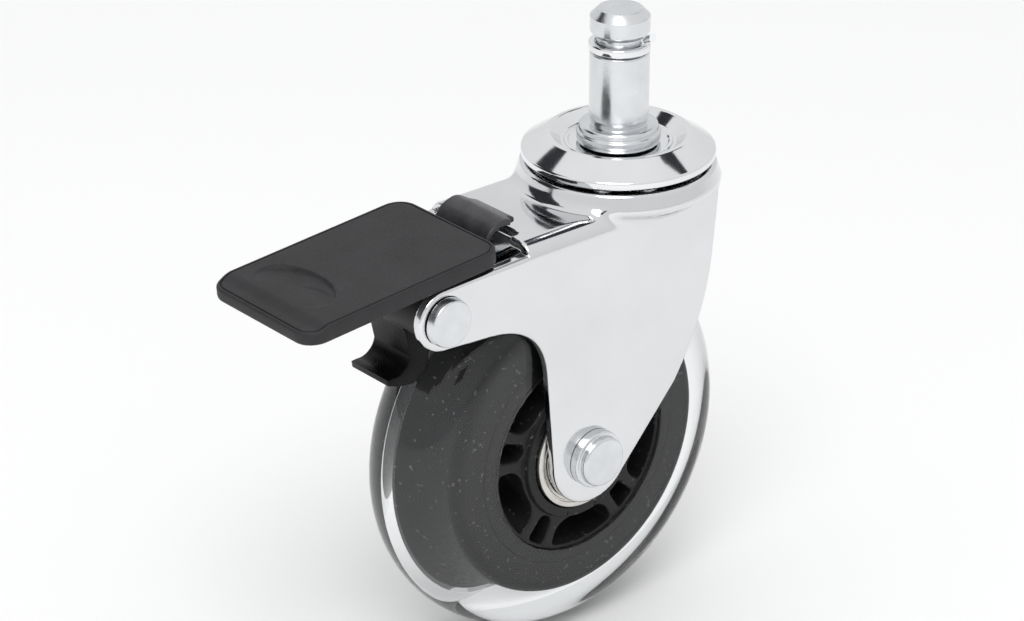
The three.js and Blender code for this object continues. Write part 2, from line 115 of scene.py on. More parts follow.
BEARING = {"outer": 11, "bore": 4, "width": 7, "pitch": 7.5, "ball": 1.985, "balls": 7}
BEARING_FACE = 11.6
BEARING_MIDDLE = BEARING_FACE - BEARING["width"] / 2
OUTER_LAND = BEARING["pitch"] + 0.8 * BEARING["ball"]
INNER_LAND = BEARING["pitch"] - 0.8 * BEARING["ball"]
AXLE_R = 3.7
PIVOT_PIN_R = 2

PEDAL = {"front": -39.5, "tip": -83, "half": 14.4, "thick": 3.1, "top": -8.63, "slope": 4.5}
BLOCK_HALF = 5.3
HUB_R = 7.4
HUB_BAR_R = 4.6
LIP_R = 15.4
SPRING_HALF = 7.2
SPRING_SHEET = 1.2
TAB_HALF = 5.25


# ---- Outlines ----

def arc(u, v, radius, start, end, steps):
    """Points of an arc about (u, v), from one angle to another in degrees."""
    turn = np.radians(np.linspace(start, end, steps + 1))
    return [(u + radius * math.cos(a), v + radius * math.sin(a)) for a in turn]


def rounded(corners, steps=4, closed=True):
    """An outline of (u, v) or (u, v, radius) corners, each radius made into an arc."""
    points = []
    count = len(corners)
    for i, corner in enumerate(corners):
        radius = corner[2] if len(corner) > 2 else 0
        at = np.array(corner[:2], float)
        if radius == 0 or (not closed and i in (0, count - 1)):
            points.append(tuple(at))
            continue
        back = np.array(corners[i - 1][:2], float) - at
        ahead = np.array(corners[(i + 1) % count][:2], float) - at
        reach = min(np.linalg.norm(back), np.linalg.norm(ahead))
        back /= np.linalg.norm(back)
        ahead /= np.linalg.norm(ahead)
        half = math.acos(max(-1, min(1, back @ ahead))) / 2
        cut = min(radius / math.tan(half), 0.48 * reach)
        radius = cut * math.tan(half)
        middle = at + (back + ahead) / np.linalg.norm(back + ahead) * radius / math.sin(half)
        start, end = at + back * cut - middle, at + ahead * cut - middle
        first = math.atan2(start[1], start[0])
        sweep = math.atan2(end[1], end[0]) - first
        sweep = (sweep + math.pi) % (2 * math.pi) - math.pi
        for k in range(steps + 1):
            a = first + sweep * k / steps
            points.append((middle[0] + radius * math.cos(a), middle[1] + radius * math.sin(a)))
    return points


def bezier(a, b, c, d, steps):
    t = np.linspace(0, 1, steps + 1)[1:, None]
    a, b, c, d = (np.array(p, float) for p in (a, b, c, d))
    line = (1 - t) ** 3 * a + 3 * (1 - t) ** 2 * t * b + 3 * (1 - t) * t**2 * c + t**3 * d
    return [tuple(p) for p in line]


def spline(points, steps):
    """A smooth line through the points."""
    points = np.array([points[0], *points, points[-1]], float)
    line = [tuple(points[0])]
    for p0, p1, p2, p3 in zip(points, points[1:], points[2:], points[3:]):
        slope1, slope2 = (p2 - p0) / 2, (p3 - p1) / 2
        t = np.linspace(0, 1, steps + 1)[1:, None]
        piece = p1 + slope1 * t + (3 * (p2 - p1) - 2 * slope1 - slope2) * t**2
        piece += (2 * (p1 - p2) + slope1 + slope2) * t**3
        line.extend(tuple(p) for p in piece)
    return line


# ---- Meshes ----

def mesh_piece(name, points, faces, normals=None, sharp=40):
    """A smooth-shaded mesh object from points in millimetres."""
    mesh = bpy.data.meshes.new(name)
    mesh.from_pydata((np.asarray(points) * MM).tolist(), [], [tuple(f) for f in faces])
    mesh.validate()
    mesh.shade_smooth()
    if normals is None:
        mesh.set_sharp_from_angle(angle=math.radians(sharp))
    else:
        mesh.normals_split_custom_set_from_vertices(normals.tolist())
    piece = bpy.data.objects.new(name, mesh)
    bpy.context.scene.collection.objects.link(piece)
    return piece


def lathe(name, profile, about=None, segments=128, sharp=40):
    """The closed profile of (radius, height) points turned about the stem, or about a line along Y."""
    profile = np.array(profile, float)
    turn = np.linspace(0, 2 * math.pi, segments, endpoint=False)
    across, up = np.cos(turn), np.sin(turn)
    r, h = profile[:, 0], profile[:, 1]
    first = np.outer(across, r)
    second = np.outer(up, r)
    height = np.outer(np.ones(segments), h)
    if about is None:
        points = np.stack([first, second, height], -1)
    else:
        points = np.stack([first + about.x, height, about.z - second], -1)
    count = len(profile)
    index = np.arange(segments * count).reshape(segments, count)
    after = np.roll(index, -1, axis=0)
    faces = []
    for k in range(count):
        k2 = (k + 1) % count
        if r[k] < 1e-6 and r[k2] < 1e-6:
            continue
        faces.append(np.stack([index[:, k], after[:, k], after[:, k2], index[:, k2]], -1))
    piece = mesh_piece(name, points.reshape(-1, 3), np.concatenate(faces))
    return welded(piece, sharp)


def welded(piece, sharp=40):
    """Joins points in the same place and turns every face outwards."""
    mesh = bmesh.new()
    mesh.from_mesh(piece.data)
    bmesh.ops.remove_doubles(mesh, verts=mesh.verts, dist=1e-3 * MM)
    loose = [v for v in mesh.verts if not v.link_faces]
    bmesh.ops.delete(mesh, geom=loose, context="VERTS")
    bmesh.ops.recalc_face_normals(mesh, faces=mesh.faces)
    mesh.to_mesh(piece.data)
    mesh.free()
    piece.data.shade_smooth()
    piece.data.set_sharp_from_angle(angle=math.radians(sharp))
    return piece


def loft(name, rings, caps=True, sharp=40):
    """A skin through closed rings of points, which all have the same number of points."""
    count = len(rings[0])
    points = [p for ring in rings for p in ring]
    faces = []
    for k in range(len(rings) - 1):
        for i in range(count):
            j = (i + 1) % count
            faces.append((k * count + i, k * count + j, (k + 1) * count + j, (k + 1) * count + i))
    if caps:
        faces.append(tuple(range(count)))
        faces.append(tuple(range((len(rings) - 1) * count, len(rings) * count)))
    return welded(mesh_piece(name, points, faces), sharp)


def stamped(name, outlines, thickness, edge):
    """A flat plate about z = 0 with rounded edges; outlines inside the first one are holes."""
    curve = bpy.data.curves.new(name, "CURVE")
    curve.dimensions = "2D"
    curve.fill_mode = "BOTH"
    curve.extrude = (thickness / 2 - edge) * MM
    curve.bevel_depth = edge * MM
    curve.bevel_resolution = 2
    curve.offset = -edge * MM
    for outline in outlines:
        line = curve.splines.new("POLY")
        line.points.add(len(outline) - 1)
        for point, (u, v) in zip(line.points, outline):
            point.co = (u * MM, v * MM, 0, 1)
        line.use_cyclic_u = True
    shape = bpy.data.objects.new(name, curve)
    bpy.context.scene.collection.objects.link(shape)
    mesh = bpy.data.meshes.new_from_object(shape.evaluated_get(bpy.context.evaluated_depsgraph_get()))
    bpy.data.objects.remove(shape)
    piece = bpy.data.objects.new(name, mesh)
    bpy.context.scene.collection.objects.link(piece)
    return welded(piece)


def stand_up(piece, y=0.0):
    """Turns a stamped plate so that its outline's second axis points up."""
    piece.data.transform(Matrix.Translation((0, y * MM, 0)) @ Matrix.Rotation(math.pi / 2, 4, "X"))


def gradient(field, p, h):
    """The field's slope at the points, by central differences."""
    slope = np.empty_like(p)
    for k in range(3):
        step = np.zeros(3)
        step[k] = h
        slope[:, k] = (field(*(p + step).T) - field(*(p - step).T)) / (2 * h)
    return slope


CELL_CORNERS = [(i, j, k) for i in (0, 1) for j in (0, 1) for k in (0, 1)]


def edge_middles(grid, active):
    """For each active cell, the mean of the places where the surface cuts its edges, in cells."""
    values = np.stack([grid[tuple((active + corner).T)] for corner in CELL_CORNERS], 1)
    total = np.zeros((len(active), 3))
    crossings = np.zeros((len(active), 1))
    for a in range(8):
        for b in range(a + 1, 8):
            ca, cb = np.array(CELL_CORNERS[a]), np.array(CELL_CORNERS[b])
            if abs(ca - cb).sum() != 1:
                continue
            va, vb = values[:, a], values[:, b]
            cut = (va < 0) != (vb < 0)
            t = np.where(cut, va / np.where(cut, va - vb, 1), 0)[:, None]
            total += np.where(cut[:, None], ca + t * (cb - ca), 0)
            crossings += cut[:, None]
    return active + total / crossings


def pulled_on(field, points, cell):
    """The points after a few short steps down the field's slope, on to the surface."""
    pulls = 3
    for _ in range(pulls):
        slope = gradient(field, points, 0.05 * cell)
        size = np.maximum((slope**2).sum(1), 0.05)
        move = (field(*points.T) / size)[:, None] * slope
        points -= np.clip(move, -0.3 * cell, 0.3 * cell)
    return points


def edge_quads(inside, number):
    """A quad of cell numbers round every grid edge with one end inside and the other outside."""
    cells = number.shape
    faces = []
    for axis in range(3):
        u, v = (axis + 1) % 3, (axis + 2) % 3
        ahead = np.zeros(3, int)
        ahead[axis] = 1
        start = inside[: cells[0] + 1 - ahead[0], : cells[1] + 1 - ahead[1], : cells[2] + 1 - ahead[2]]
        end = inside[ahead[0] :, ahead[1] :, ahead[2] :]
        edge = np.argwhere(start != end)
        outward = start[tuple(edge.T)]
        ring = []
        for du, dv in ((0, 0), (-1, 0), (-1, -1), (0, -1)):
            cell_at = edge.copy()
            cell_at[:, u] += du
            cell_at[:, v] += dv
            ring.append(number[tuple(cell_at.T)])
        quads = np.stack(ring, 1)
        faces.append(np.where(outward[:, None], quads, quads[:, ::-1]))
    return np.concatenate(faces).tolist()


def skin(name, field, lowest, highest, cell):
    """The surface where a distance field is zero, as a mesh of even quads lying on it."""
    lowest = np.array(lowest, float) - 2 * cell
    counts = np.ceil((np.array(highest, float) + 2 * cell - lowest) / cell).astype(int) + 1
    axes = [lowest[k] + cell * np.arange(counts[k]) for k in range(3)]
    grid = np.broadcast_to(field(*np.ix_(*axes)), tuple(counts)).astype(np.float32)
    inside = grid < 0
    nx, ny, nz = counts - 1
    held = np.zeros((nx, ny, nz), np.int8)
    for i, j, k in CELL_CORNERS:
        held += inside[i : i + nx, j : j + ny, k : k + nz]
    active = np.argwhere((held > 0) & (held < 8))
    number = np.full((nx, ny, nz), -1, np.int32)
    number[tuple(active.T)] = np.arange(len(active))
    points = pulled_on(field, lowest + cell * edge_middles(grid, active), cell)
    normals = gradient(field, points, 0.1 * cell)
    normals /= np.maximum(np.linalg.norm(normals, axis=1), 1e-9)[:, None]
    return mesh_piece(name, points, edge_quads(inside, number), normals=normals)


# ---- Distance fields: negative inside ----

def both(a, b, blend=0.0):
    """Where a and b overlap, with the edge between them rounded."""
    if blend == 0:
        return np.maximum(a, b)
    mix = np.maximum(blend - np.abs(a - b), 0) / blend
    return np.maximum(a, b) + mix**2 * blend / 4


def rounded_both(a, b, radius):
    """Where a and b overlap, with an arc of that radius at the corner."""
    corner = np.hypot(np.maximum(a + radius, 0), np.maximum(b + radius, 0))
    return np.minimum(-radius, np.maximum(a, b)) + corner


def either(a, b, blend=0.0):
    """a and b joined, with a fillet between them."""
    return -both(-a, -b, blend)


def without(a, b, blend=0.0):
    return both(a, -b, blend)


def box_field(u, v, half_u, half_v, radius=0.0):
    """A rectangle about (0, 0) with rounded corners."""
    du, dv = np.abs(u) - half_u + radius, np.abs(v) - half_v + radius
    outside = np.hypot(np.maximum(du, 0), np.maximum(dv, 0))
    return outside + np.minimum(np.maximum(du, dv), 0) - radius


def polygon_field(u, v, outline):
    """Signed distance to a closed outline."""
    best = np.inf
    crossed = False
    for (u0, v0), (u1, v1) in zip(outline, outline[1:] + outline[:1]):
        du, dv = u1 - u0, v1 - v0
        if du == 0 and dv == 0:
            continue
        t = np.clip(((u - u0) * du + (v - v0) * dv) / (du * du + dv * dv), 0, 1)
        best = np.minimum(best, (u - u0 - t * du) ** 2 + (v - v0 - t * dv) ** 2)
        if v0 != v1:
            side = (v0 > v) != (v1 > v)
            crossed = crossed ^ (side & (u < (v - v0) * du / dv + u0))
    return np.sqrt(best) * np.where(crossed, -1.0, 1.0)


def path_field(u, v, line):
    """Distance to an open line of points."""
    best = np.inf
    for (u0, v0), (u1, v1) in zip(line, line[1:]):
        du, dv = u1 - u0, v1 - v0
        t = np.clip(((u - u0) * du + (v - v0) * dv) / (du * du + dv * dv), 0, 1)
        best = np.minimum(best, (u - u0 - t * du) ** 2 + (v - v0 - t * dv) ** 2)
    return np.sqrt(best)


# ---- Materials ----

def surface(name, colour, metallic=0.0, roughness=0.5, **sockets):
    """A material with one Principled shader; sockets are its other plain values."""
    material = bpy.data.materials.new(name)
    material.use_nodes = True
    shader = material.node_tree.nodes["Principled BSDF"]
    shader.inputs["Base Color"].default_value = (*colour, 1)
    shader.inputs["Metallic"].default_value = metallic
    shader.inputs["Roughness"].default_value = roughness
    for socket, value in sockets.items():
        shader.inputs[socket.replace("_", " ")].default_value = value
    return material


def add(material, kind, **settings):
    node = material.node_tree.nodes.new(kind)
    for key, value in settings.items():
        if key in node.inputs:
            node.inputs[key].default_value = value
        else:
            setattr(node, key, value)
    return node


def link(material, out, into):
    material.node_tree.links.new(out, into)


def noise(material, scale, detail=4.0, rough=0.6, stretch=(1, 1, 1)):
    """Noise over the piece's own coordinates. scale is in features per metre."""
    place = add(material, "ShaderNodeTexCoord")
    shape = add(material, "ShaderNodeMapping")
    shape.inputs["Scale"].default_value = stretch
    texture = add(material, "ShaderNodeTexNoise", Scale=scale, Detail=detail, Roughness=rough)
    link(material, place.outputs["Object"], shape.inputs["Vector"])
    link(material, shape.outputs["Vector"], texture.inputs["Vector"])
    return texture.outputs["Fac"]


def ranged(material, value, from_low, from_high, to_low, to_high):
    node = add(material, "ShaderNodeMapRange", clamp=True)
    for socket, number in zip(("From Min", "From Max", "To Min", "To Max"),
                              (from_low, from_high, to_low, to_high)):
        node.inputs[socket].default_value = number
    link(material, value, node.inputs["Value"])
    return node.outputs["Result"]


def vary_roughness(material, value, smooth, rough, from_low=0.3, from_high=0.7):
    shader = material.node_tree.nodes["Principled BSDF"]
    link(material, ranged(material, value, from_low, from_high, smooth, rough), shader.inputs["Roughness"])


def vary_colour(material, value, first, second, from_low=0.3, from_high=0.7):
    shader = material.node_tree.nodes["Principled BSDF"]
    mix = add(material, "ShaderNodeMix", data_type="RGBA")
    link(material, ranged(material, value, from_low, from_high, 0, 1), mix.inputs["Factor"])
    for socket, colour in zip([s for s in mix.inputs if s.type == "RGBA"], (first, second)):
        socket.default_value = (*colour, 1)
    out = [s for s in mix.outputs if s.type == "RGBA"][0]
    link(material, out, shader.inputs["Base Color"])


def bump(material, heights):
    """Bumps one after another: heights is a list of (value, depth in mm)."""
    shader = material.node_tree.nodes["Principled BSDF"]
    before = None
    for value, depth in heights:
        node = add(material, "ShaderNodeBump", Strength=1.0, Distance=depth * MM)
        link(material, value, node.inputs["Height"])
        if before is not None:
            link(material, before, node.inputs["Normal"])
        before = node.outputs["Normal"]
    link(material, before, shader.inputs["Normal"])


def chrome(name, bright=0.82):
    """Bright chrome plate: nearly a mirror, with faint waves, grain and hairline scratches."""
    tint = (bright, bright * 1.01, bright * 1.025)
    material = surface(name, tint, metallic=1, roughness=0.09)
    grain = noise(material, 900, 5)
    smear = noise(material, 60, 3)
    scratch = noise(material, 700, 2, stretch=(0.08, 1, 1))
    vary_roughness(material, smear, 0.05, 0.13)
    vary_colour(material, smear, tuple(0.97 * c for c in tint), tuple(1.03 * c for c in tint))
    bump(material, [(grain, 0.0015), (scratch, 0.0012)])
    return material


def plated_zinc(name, stretch=(1, 1, 1)):
    """Zinc-plated steel: satin, faintly blue, with the plating's grain and turning marks."""
    material = surface(name, (0.7, 0.715, 0.735), metallic=1, roughness=0.25)
    grain = noise(material, 2600, 4)
    cloud = noise(material, 260, 4)
    marks = noise(material, 1400, 2, stretch=stretch)
    vary_roughness(material, cloud, 0.14, 0.3)
    vary_colour(material, cloud, (0.66, 0.675, 0.69), (0.76, 0.775, 0.79))
    bump(material, [(grain, 0.006), (marks, 0.004)])
    return material


def ground_steel(name, colour=(0.66, 0.64, 0.61)):
    """Ground bearing steel, with a fine grain and cloudy patches of roughness and tone."""
    material = surface(name, colour, metallic=1, roughness=0.2)
    cloud = noise(material, 300, 3)
    grain = noise(material, 3000, 3)
    vary_roughness(material, cloud, 0.14, 0.3)
    vary_colour(material, cloud, tuple(0.9 * c for c in colour), tuple(1.1 * c for c in colour))
    bump(material, [(grain, 0.003)])
    return material


def black_nylon(name, dark, light, rough, shine):
    """Moulded nylon between two colours and two roughnesses: spark-eroded grain, slight flow clouds."""
    material = surface(name, dark, roughness=0.5, Specular_IOR_Level=shine)
    grain = noise(material, 2600, 3, rough=0.7)
    cloud = noise(material, 130, 4)
    vary_roughness(material, grain, *rough)
    vary_colour(material, cloud, dark, light)
    bump(material, [(grain, 0.03), (cloud, 0.02)])
    return material


def black_plastic(name):
    """The wheel core's black plastic: duller than the pedal, with a fine moulded grain and dust specks."""
    material = surface(name, (0.011, 0.011, 0.012), roughness=0.45, Specular_IOR_Level=0.25)
    grain = noise(material, 1800, 3)
    speck = noise(material, 1300, 0)
    vary_roughness(material, grain, 0.35, 0.55)
    vary_colour(material, speck, (0.011, 0.011, 0.012), (0.09, 0.09, 0.095), 0.74, 0.8)
    bump(material, [(grain, 0.006)])
    return material


def clear_tyre(name):
    """Clear cast polyurethane, faintly cloudy, with a little surface waviness."""
    material = surface(name, (0.97, 0.985, 0.99), roughness=0.03, IOR=1.49, Transmission_Weight=1.0)
    wave = noise(material, 70, 1)
    vary_roughness(material, wave, 0.0, 0.02)
    bump(material, [(wave, 0.03)])
    return material


def dark_spring(name):
    """Spring steel with a black oxide coat, worn a little lighter in places."""
    material = surface(name, (0.02, 0.02, 0.022), metallic=0.3, roughness=0.38, Coat_Weight=0.25)
    cloud = noise(material, 240, 5)
    grain = noise(material, 2400, 3)
    vary_roughness(material, grain, 0.3, 0.5)
    vary_colour(material, cloud, (0.016, 0.016, 0.018), (0.05, 0.05, 0.055))
    bump(material, [(grain, 0.01)])
    return material


CHROME = chrome("chrome")
# The fork's chrome is a darker copy of the same plating: it paints shade into the duller reflection on the
# fork's flat cheeks.
CHROME_FORK_SHADED = chrome("chrome_fork_painted_shade", bright=0.74)
ZINC = plated_zinc("zinc", stretch=(0.05, 0.05, 1.5))
RIVET_ZINC = plated_zinc("rivet_zinc")
BEARING_STEEL = ground_steel("bearing_steel")
CAGE_STEEL = ground_steel("cage_steel", (0.5, 0.49, 0.47))
BALL_STEEL = ground_steel("ball_steel", (0.62, 0.62, 0.62))
SHIELD_STEEL = ground_steel("shield_steel", (0.5, 0.48, 0.45))
NYLON = black_nylon("nylon", (0.022, 0.0215, 0.023), (0.03, 0.0295, 0.032), (0.45, 0.62), 0.26)
# The shoe's nylon is a near-black, less shiny copy of the pedal's. Its gloss is the shoe's own; its darkness
# is painted shade under the pedal.
GLOSS_NYLON_SHADED = black_nylon("gloss_nylon_painted_shade", (0.003, 0.003, 0.0035), (0.006, 0.006, 0.007), (0.2, 0.32), 0.12)
CORE_BLACK = black_plastic("core_black")
CLEAR = clear_tyre("clear_pu")
SPRING_BLACK = dark_spring("spring_black")


def fit(piece, node, body, material):
    """Dresses a piece and puts it in place of its CAD node."""
    piece.data.materials.append(material)
    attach(piece, body)
    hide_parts(node)
    return piece


# ---- Stem and swivel race ----

def stem():
    """Stem, collar and king-pin, turned in one piece."""
    undercut = 0.35
    chamfer = 1.4
    profile = [
        (0, KINGPIN_BOTTOM),
        (KINGPIN_HEAD_R - 1.8, KINGPIN_BOTTOM, 1.5),
        (KINGPIN_HEAD_R, KINGPIN_BOTTOM + 1.3, 0.4),
        (KINGPIN_HEAD_R, KINGPIN_BOTTOM + 1.8, 0.2),
        (KINGPIN_R, KINGPIN_BOTTOM + 1.8),
        (KINGPIN_R, COLLAR_BOTTOM),
        (COLLAR_R, COLLAR_BOTTOM, 0.5),
        (COLLAR_R, -1.5, 0.35),
        (COLLAR_R - 0.45, -1.25, 0.2),
        (COLLAR_R - 0.45, 0, 0.75),
        (STEM_R - undercut, 0, 0.15),
        (STEM_R - undercut, 0.8, 0.2),
        (STEM_R, 1.2, 0.3),
        (STEM_R, NECK_BOTTOM, 0.35),
        (NECK_R, NECK_BOTTOM, 0.1),
        (NECK_R, NECK_TOP, 0.1),
        (STEM_R - 0.6, NECK_TOP, 0.1),
        (STEM_R, NECK_TOP + 0.8, 0.25),
        (STEM_R, STEM_TOP - chamfer, 0.15),
        (STEM_R - chamfer, STEM_TOP, 0.15),
        (0, STEM_TOP),
    ]
    fit(lathe("stem_turned", rounded(profile)), "stem", "stem", ZINC)


def grip_ring():
    """A spring-steel band round the neck, whose one end turns out and up."""
    inner = NECK_R + GAP
    half_sheet = 0.575
    bottom, top = low("grip_ring").z, high("grip_ring").z
    half_height = (top - bottom) / 2
    section = rounded([
        (-half_sheet, -half_height, 0.4),
        (half_sheet, -half_height, 0.4),
        (half_sheet, half_height, 0.4),
        (-half_sheet, half_height, 0.4),
    ])
    flare_from, end = -9, -29
    rings = []
    for angle in np.linspace(305, end, 110):
        flare = max(0, (flare_from - angle) / (flare_from - end))
        radius = inner + half_sheet + 0.9 * flare**1.5
        height = bottom + half_height + 0.75 * flare**2
        across, up = math.cos(math.radians(angle)), math.sin(math.radians(angle))
        rings.append([((radius + u) * across, (radius + u) * up, height + v) for u, v in section])
    fit(loft("grip_ring_sprung", rings), "grip_ring", "stem", CHROME)


def upper_race_cap():
    """The dish over the upper balls: an arch of sheet with a turned-down rim and a bead round its floor."""
    r, z = UPPER_ROW["r"], UPPER_ROW["z"]
    inside = UPPER_ROW["ball"] + GAP
    outside = inside + CAP_SHEET
    floor_top = COLLAR_BOTTOM - GAP
    floor_bottom = floor_top - CAP_SHEET
    crest = z + outside
    underside = [(KINGPIN_R + GAP, floor_bottom), (r - 3, floor_bottom), *arc(r, z, inside, 150, 35, 20)]
    upper = [
        (CAP_R - 1.1, z + 0.35),
        (CAP_R - 1.1, z - 0.5, 0.5),
        (CAP_R, z - 0.5, 0.5),
        (CAP_R, z + 0.95, 0.6),
        (r + 0.45, crest + 0.1, 0.7),
        (r - 0.4, crest + 0.2, 0.45),
        (r - 2.4, floor_top + 0.1, 0.5),
        (r - 2.9, floor_top + 0.05, 0.1),
        (r - 3.1, floor_top + 0.4, 0.15),
        (r - 3.6, floor_top + 0.4, 0.15),
        (r - 3.9, floor_top, 0.15),
        (KINGPIN_R + GAP, floor_top),
    ]
    profile = underside + rounded(upper, steps=10, closed=False)
    piece = lathe("upper_race_cap_pressed", profile, segments=192, sharp=60)
    fit(piece, "upper_race_cap", "stem", CHROME)


def lower_race():
    """The washer on the king-pin, with a groove for the lower balls."""
    r, z = LOWER_ROW["r"], LOWER_ROW["z"]
    top, bottom = high("lower_race").z, low("lower_race").z
    outer = high("lower_race").x
    profile = [
        (KINGPIN_R + GAP, bottom),
        (outer - 0.7, bottom),
        *arc(outer - 0.6, bottom + 0.6, 0.6, -90, 0, 6),
        (outer, top),
        *arc(r, z, LOWER_ROW["ball"] + GAP, -40, -140, 14),
        (KINGPIN_R + GAP, top),
    ]
    fit(lathe("lower_race_turned", profile), "lower_race", "stem", BEARING_STEEL)


def retainer(row, node, body):
    """Stamped ring with a hole for each ball."""
    outlines = [arc(0, 0, row["r"] + row["retainer"], 0, 360, 96)[:-1]]
    outlines.append(arc(0, 0, row["r"] - row["retainer"], 0, 360, 72)[:-1])
    for k in range(row["count"]):
        a = 2 * math.pi * k / row["count"]
        hole = arc(row["r"] * math.cos(a), row["r"] * math.sin(a), row["ball"] + GAP, 0, 360, 32)
        outlines.append(hole[:-1])
    piece = stamped(node + "_stamped", outlines, RETAINER_SHEET, 0.12)
    piece.data.transform(Matrix.Translation((0, 0, row["z"] * MM)))
    fit(piece, node, body, CAGE_STEEL)


def ball_mesh(radius):
    """A polished ball's mesh about its own middle."""
    half = [(radius * math.cos(a), radius * math.sin(a)) for a in np.linspace(-math.pi / 2, math.pi / 2, 17)]
    half[0], half[-1] = (0, -radius), (0, radius)
    ball = lathe("ball", half, segments=32)
    mesh = ball.data
    bpy.data.objects.remove(ball)
    mesh.materials.append(BALL_STEEL)
    return mesh


def balls(mesh, nodes, body):
    """A ball at the middle of each CAD ball; they all share one mesh."""
    for node in nodes:
        ball = bpy.data.objects.new(node + "_polished", mesh)
        bpy.context.scene.collection.objects.link(ball)
        ball.location = centre(node) * MM
        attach(ball, body)
        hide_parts(node)


def swivel_race():
    """The two rows of balls the fork swivels on, each in its retainer."""
    for row, name in ((UPPER_ROW, "upper_ball"), (LOWER_ROW, "lower_ball")):
        retainer(row, name + "_retainer", name + "_set")
        nodes = [f"{name}_{k + 1}" for k in range(row["count"])]
        balls(ball_mesh(row["ball"]), nodes, name + "_set")


# ---- Fork ----

def cheek_outline():
    """Side view of a cheek; its top runs past the plate, whose own height closes it."""
    above = 5
    arch_start, arch_end = (-42, -25.6), (-28.7, -38)
    front_low, front_high = (2.4, -48.8), (11.5, -24)
    front_lean = (CHEEK_FRONT - front_high[0]) / (PLATE_TOP - front_high[1])
    lobe_low = arc(AXLE.x, AXLE.z, AXLE_LOBE_R, 180, 324, 36)
    return [
        (PLATE_REAR, PLATE_TOP + above),
        (PLATE_REAR, -12.5),
        (PIVOT.x, PIVOT.z + EAR_R),
        *arc(PIVOT.x, PIVOT.z, EAR_R, 90, 270, 30),
        arch_start,
        *bezier(arch_start, (-34, -26.2), (-29.2, -30.5), arch_end, 16),
        *lobe_low,
        front_low,
        *bezier(front_low, (8.2, -40), (10.7, -32), front_high, 16),
        (CHEEK_FRONT + above * front_lean, PLATE_TOP + above),
    ]


def fork():
    """One pressing: a bent channel with the drawn boss, less its hollow, its holes and the spring's slot."""
    race = UPPER_ROW["ball"] + GAP
    lower_race_r = high("lower_race").x + GAP
    roof = BOSS_FLOOR - SHEET
    below = low("lower_race").z - GAP
    cheek = cheek_outline()
    wall = rounded([
        (0, PLATE_TOP - BOSS_DEPTH),
        (BOSS_UNDER_R, PLATE_TOP - BOSS_DEPTH, 1.5),
        (BOSS_BASE_R + 0.1, PLATE_TOP - 0.2, 1.4),
        (BOSS_R, BOSS_TOP, 0.8),
        (UPPER_ROW["r"] + 2.9, BOSS_TOP),
    ], steps=8, closed=False)
    boss_outside = [
        *wall,
        *arc(UPPER_ROW["r"], UPPER_ROW["z"], race, -50, -124, 14),
        (0, BOSS_FLOOR),
    ]
    boss_inside = [
        (0, below),
        (lower_race_r, below),
        (lower_race_r, PLATE_TOP - SHEET),
        (BOSS_UNDER_R + 0.4, PLATE_TOP - SHEET),
        (BOSS_BASE_R - SHEET, PLATE_TOP + 0.3),
        (BOSS_BASE_R - SHEET - 1.5, roof),
        *arc(LOWER_ROW["r"], LOWER_ROW["z"], LOWER_ROW["ball"] + GAP, 57, 123, 10),
        (0, roof),
    ]
    deep = 60

    def channel(y, z, inset):
        return box_field(y, z - (PLATE_TOP - inset - deep), FORK_HALF - inset, deep, BEND_R - inset)

    def field(x, y, z):
        r = np.hypot(x, y)
        bent = both(polygon_field(x, z, cheek), channel(y, z, 0), 0.7)
        outside = either(bent, polygon_field(r, z, boss_outside), 2.0)
        hollow = either(channel(y, z, SHEET), polygon_field(r, z, boss_inside), 0.4)
        pressed = without(outside, hollow, 0.5)
        tab_slot = box_field(x - (TAB_EDGE - 2), y, 2, SPRING_HALF + 1, 0.5)
        kingpin_hole = r - KINGPIN_R - 2 * GAP
        axle_hole = np.hypot(x - AXLE.x, z - AXLE.z) - AXLE_R - GAP
        pivot_hole = np.hypot(x - PIVOT.x, z - PIVOT.z) - PIVOT_PIN_R - GAP
        holes = np.minimum(np.minimum(tab_slot, kingpin_hole), np.minimum(axle_hole, pivot_hole))
        return without(pressed, holes, 0.4)

    piece = skin("fork_pressed", field, low("fork"), high("fork"), 0.42)
    # The darker chrome copy paints shade into the fork's reflections.
    fit(piece, "fork", "fork", CHROME_FORK_SHADED)


def rivet(node, at, shank, head):
    """A rivet along Y: at -Y a head of (radius, height over the cheek) corners, at +Y a formed one."""
    near = [(radius, -FORK_HALF - height, *bend) for radius, height, *bend in head]
    flange = head[-1][0]
    seat = FORK_HALF + GAP
    end = high(node).y
    profile = [
        *near,
        (shank, near[-1][1]),
        (shank, seat),
        (flange, seat),
        (flange, seat + 0.3 * (end - seat), 0.3),
        (flange - 1.2, end, 0.8),
        (0, end),
    ]
    piece = lathe(node + "_set", rounded(profile), about=at, segments=96)
    fit(piece, node, "fork", RIVET_ZINC)


def rivets():
    """The axle's head stands on a fat round flange, the pivot's is a plain low disc."""
    rivet("axle_rivet", AXLE, AXLE_R, [
        (0, 3.2),
        (4.85, 3.2, 0.7),
        (4.75, 1.75, 0.25),
        (5.55, 1.75, 0.7),
        (5.55, 0.1),
    ])
    rivet("pivot_rivet", PIVOT, PIVOT_PIN_R, [(0, 1.9), (4.3, 1.9, 0.3), (4.6, GAP)])


# ---- Wheel ----

def rim_section(sunk=0.0):
    """The core's rim from side to side: a stepped flange on each side and a rounded crown."""
    rim, half = CORE_RIM_R - sunk, CORE_HALF - sunk
    flange, step, round_r = TREAD_BORE_R + 2.6 - sunk, 0.35, 3
    side = [
        (TREAD_BORE_R, -half),
        (flange, -half),
        (flange + 0.3, -half + step),
        *arc(rim - round_r, -half + step + round_r, round_r, -90, 0, 12),
    ]
    return side + [(r, -y) for r, y in side[::-1]]


